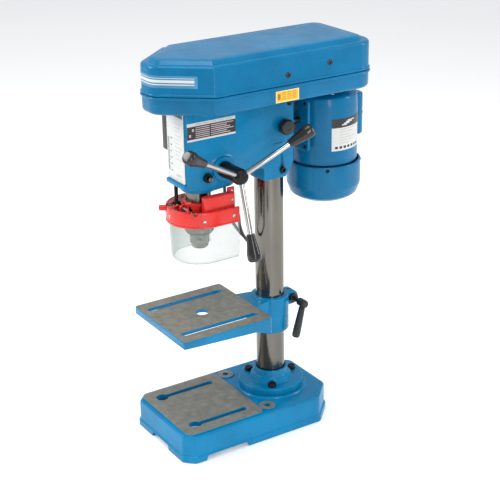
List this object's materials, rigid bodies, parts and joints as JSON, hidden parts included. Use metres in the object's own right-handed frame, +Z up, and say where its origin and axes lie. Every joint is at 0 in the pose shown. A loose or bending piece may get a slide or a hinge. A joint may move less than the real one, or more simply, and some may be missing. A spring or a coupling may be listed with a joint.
{
  "type": "bench drill press",
  "caption": "Bench drill press: slotted iron base, round column, sliding table, belt-driven head with three-spoke quill feed, guarded chuck and a rear motor.",
  "frame": {"origin": "on the column's axis, at the underside of the base, where it stands on the bench", "axes": "+Z up the column, -Y from the column towards the spindle and the operator, +X to the operator's right, where the feed handles are"},
  "size_m": [0.2089, 0.386, 0.624],
  "materials": {
    "blue_paint": "gloss enamel",
    "ground_iron": "surface ground, lightly oiled",
    "bright_steel": "ground and polished",
    "chrome": "polished",
    "black_oxide": "blackened",
    "black_plastic": "satin",
    "red_plastic": "gloss",
    "green_plastic": "gloss",
    "clear_plastic": "clear",
    "belt_rubber": "matt",
    "cast_alloy": "turned",
    "winding": "varnished copper",
    "white_plate": "printed"
  },
  "bodies": {
    "frame": {"base_casting": "blue_paint", "column_flange": "blue_paint", "flange_bolt_1": "black_oxide", "flange_bolt_2": "black_oxide", "flange_bolt_3": "black_oxide", "column_tube": "bright_steel", "head_casting": "blue_paint", "head_lock_screw": "black_oxide", "quill_lock_screw": "black_oxide", "depth_scale_plate": "white_plate", "feed_bush": "cast_alloy", "return_spring": "bright_steel", "spring_housing": "black_plastic", "belt_housing": "blue_paint", "cover_hinge": "blue_paint", "drive_belt": "belt_rubber", "pulley_bearing": "bright_steel", "switch_box": "black_plastic", "cable_gland": "black_plastic", "guard_cable": "black_plastic"},
    "quill": {"quill": "bright_steel", "quill_bearing_lower": "bright_steel", "quill_bearing_upper": "bright_steel", "depth_stop_rod": "black_oxide", "depth_stop_nut": "black_oxide", "guard_bracket": "red_plastic", "guard_hinge_pin": "chrome", "guard_switch_box": "red_plastic"},
    "spindle": {"spindle": "bright_steel", "chuck_body": "bright_steel"},
    "chuck_sleeve": {"chuck_sleeve": "bright_steel"},
    "jaw_1": {"chuck_jaw_1": "bright_steel"},
    "jaw_2": {"chuck_jaw_2": "bright_steel"},
    "jaw_3": {"chuck_jaw_3": "bright_steel"},
    "feed": {"feed_shaft": "bright_steel", "feed_hub": "black_plastic", "handle_rod_1": "chrome", "handle_rod_2": "chrome", "handle_rod_3": "chrome", "handle_grip_1": "black_plastic", "handle_grip_2": "black_plastic", "handle_grip_3": "black_plastic"},
    "guard": {"guard_frame": "red_plastic", "guard_shield": "clear_plastic"},
    "spindle_pulley": {"spindle_pulley": "cast_alloy"},
    "rotor": {"motor_rotor": "bright_steel", "motor_pulley": "cast_alloy"},
    "motor": {"motor_mount": "blue_paint", "motor_body": "blue_paint", "motor_end_bell": "blue_paint", "motor_stator": "winding", "capacitor_box": "blue_paint"},
    "table": {"table_casting": "blue_paint", "table_collar": "blue_paint", "table_clamp_nut": "black_oxide"},
    "clamp_lever": {"table_clamp_lever": "black_plastic"},
    "cover": {"belt_cover": "blue_paint"},
    "tension_knob": {"tension_knob": "black_plastic"},
    "start_button": {"start_button": "green_plastic"},
    "stop_button": {"stop_button": "red_plastic"}
  },
  "joints": [
    {"name": "quill_feed", "type": "slide", "parent": "frame", "child": "quill", "axis": [0, 0, -1], "range_m": [0, 0.05], "stiffness_N_per_m": 500, "springref_m": -0.07, "deforming": ["guard_cable"]},
    {"name": "feed_turn", "type": "hinge", "parent": "frame", "child": "feed", "pos_m": [0, -0.10045, 0.45], "axis": [1, 0, 0], "range_deg": [0, 330]},
    {"name": "spindle_spin", "type": "hinge", "parent": "quill", "child": "spindle", "pos_m": [0, -0.127, 0.366], "axis": [0, 0, 1], "continuous": true},
    {"name": "chuck_sleeve_turn", "type": "hinge", "parent": "spindle", "child": "chuck_sleeve", "pos_m": [0, -0.127, 0.355], "axis": [0, 0, 1], "range_deg": [0, 540]},
    {"name": "jaw_1_slide", "type": "slide", "parent": "spindle", "child": "jaw_1", "axis": [-0.2241, -0.1294, -0.9659], "range_m": [0, 0.006]},
    {"name": "jaw_2_slide", "type": "slide", "parent": "spindle", "child": "jaw_2", "axis": [0.2241, -0.1294, -0.9659], "range_m": [0, 0.006]},
    {"name": "jaw_3_slide", "type": "slide", "parent": "spindle", "child": "jaw_3", "axis": [0, 0.2588, -0.9659], "range_m": [0, 0.006]},
    {"name": "guard_swing", "type": "hinge", "parent": "quill", "child": "guard", "pos_m": [0, -0.156, 0.39], "axis": [-1, 0, 0], "range_deg": [0, 90]},
    {"name": "motor_tension", "type": "slide", "parent": "frame", "child": "motor", "axis": [0, -1, 0], "range_m": [0, 0.015]},
    {"name": "motor_spin", "type": "hinge", "parent": "motor", "child": "rotor", "pos_m": [0, 0.105, 0.4135], "axis": [0, 0, 1], "continuous": true},
    {"name": "pulley_spin", "type": "hinge", "parent": "frame", "child": "spindle_pulley", "pos_m": [0, -0.127, 0.556], "axis": [0, 0, 1], "continuous": true},
    {"name": "table_slide", "type": "slide", "parent": "frame", "child": "table", "axis": [0, 0, 1], "range_m": [-0.065, 0.02]},
    {"name": "clamp_lever_turn", "type": "hinge", "parent": "table", "child": "clamp_lever", "pos_m": [0, 0.0375, 0.196], "axis": [1, 0, 0], "range_deg": [-45, 120]},
    {"name": "cover_swing", "type": "hinge", "parent": "frame", "child": "cover", "pos_m": [-0.083, 0, 0.574], "axis": [0, -1, 0], "range_deg": [0, 100]},
    {"name": "tension_knob_turn", "type": "hinge", "parent": "frame", "child": "tension_knob", "pos_m": [0.028, 0.0095, 0.496], "axis": [1, 0, 0], "range_deg": [0, 270]},
    {"name": "start_button_press", "type": "slide", "parent": "frame", "child": "start_button", "axis": [1, 0, 0], "range_m": [0, 0.003], "stiffness_N_per_m": 600, "springref_m": -0.001},
    {"name": "stop_button_press", "type": "slide", "parent": "frame", "child": "stop_button", "axis": [1, 0, 0], "range_m": [0, 0.004], "stiffness_N_per_m": 600, "springref_m": -0.001}
  ],
  "couplings": [
    {"joint": "feed_turn", "follows": "quill_feed", "rad_per_m": 114.29},
    {"joint": "spindle_spin", "follows": "motor_spin", "ratio": 1},
    {"joint": "pulley_spin", "follows": "motor_spin", "ratio": 1},
    {"joint": "jaw_1_slide", "follows": "chuck_sleeve_turn", "m_per_rad": 0.00063556},
    {"joint": "jaw_2_slide", "follows": "chuck_sleeve_turn", "m_per_rad": 0.00063556},
    {"joint": "jaw_3_slide", "follows": "chuck_sleeve_turn", "m_per_rad": 0.00063556}
  ]
}
